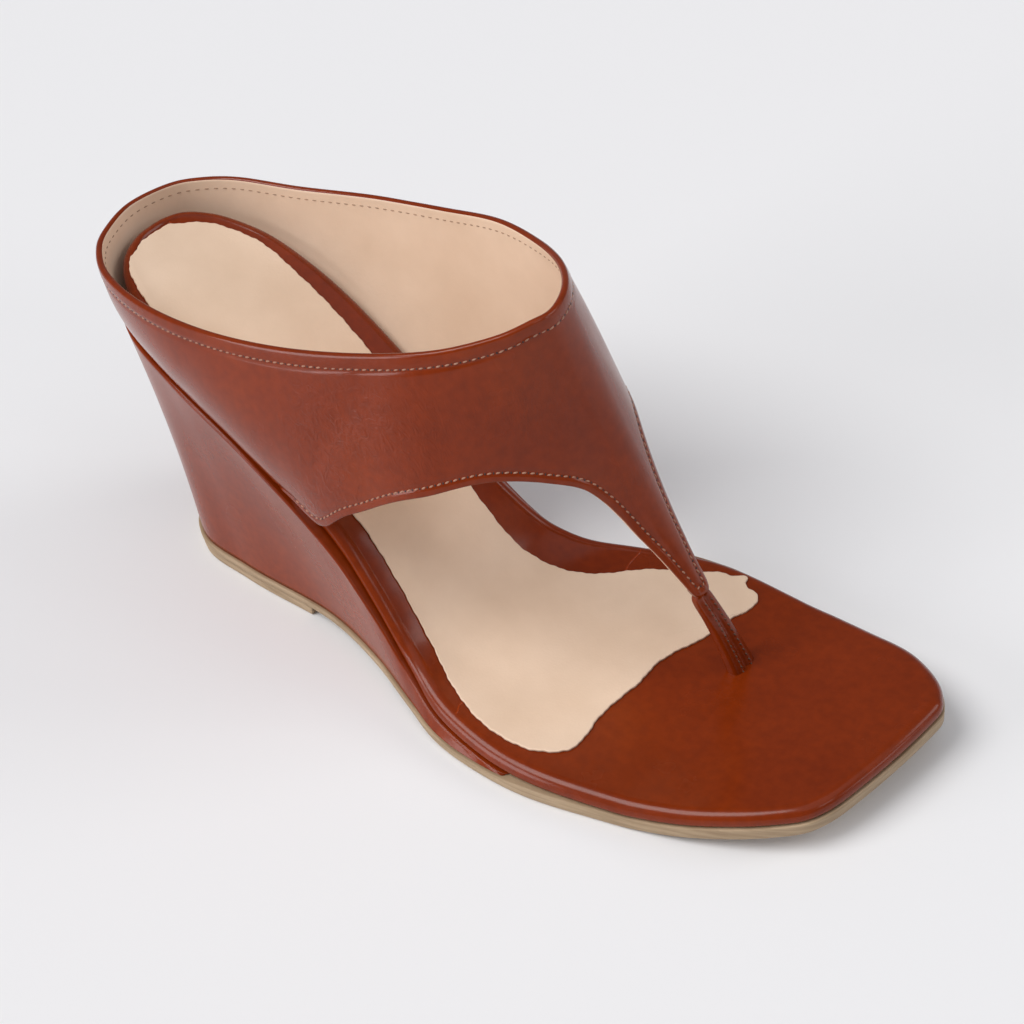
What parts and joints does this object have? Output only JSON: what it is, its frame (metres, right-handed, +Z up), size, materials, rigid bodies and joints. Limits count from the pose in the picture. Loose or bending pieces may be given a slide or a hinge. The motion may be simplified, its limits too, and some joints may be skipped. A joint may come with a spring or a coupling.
{
  "type": "wedge mule",
  "caption": "Backless wedge mule for the right foot, with a closed sling of leather round the heel and instep, side openings, a toe post and a square open toe.",
  "frame": {"origin": "middle of the heel lift's tread, on the floor", "axes": "+X along the foot to the toe, +Y to the inner (big toe) side of the foot, +Z up from the floor"},
  "size_m": [0.2455, 0.0956, 0.1131],
  "materials": {
    "outsole": "matte",
    "heel_lift": "matte",
    "wedge": "satin",
    "footbed": "satin",
    "sock": "matte",
    "upper": "satin",
    "toe_post": "satin"
  },
  "bodies": {
    "root": {"outsole": "outsole", "heel_lift": "heel_lift", "wedge": "wedge", "footbed": "footbed", "sock": "sock", "upper": "upper", "toe_post": "toe_post"}
  },
  "joints": []
}
